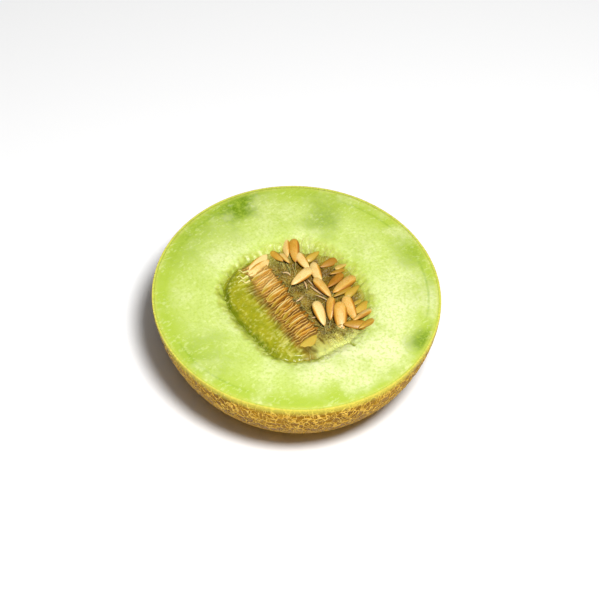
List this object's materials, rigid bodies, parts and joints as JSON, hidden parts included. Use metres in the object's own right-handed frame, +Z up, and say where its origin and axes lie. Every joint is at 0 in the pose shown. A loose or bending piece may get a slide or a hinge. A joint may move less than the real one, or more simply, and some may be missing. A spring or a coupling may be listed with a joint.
{
  "type": "netted melon half",
  "caption": "Round netted melon cut lengthwise, lying cut face up on its rind, with green flesh round a hollow of pulp and seeds.",
  "frame": {"origin": "middle of the small flat under the rind that the half rests on, at the level of the surface below it", "axes": "+Z up, out of the cut face; +X along the fruit's own axis to the blossom end, -X to the stem end; +Y across the cut face to the side of the fallen seeds"},
  "size_m": [0.1329, 0.1304, 0.0581],
  "materials": {
    "rind": "satin",
    "flesh": "satin",
    "pulp": "gloss",
    "seeds_in_pulp": "gloss",
    "seeds_loose": "gloss"
  },
  "bodies": {
    "root": {"melon_half": "flesh", "seed_comb": "seeds_in_pulp", "seed_heap": "seeds_loose"}
  },
  "joints": []
}
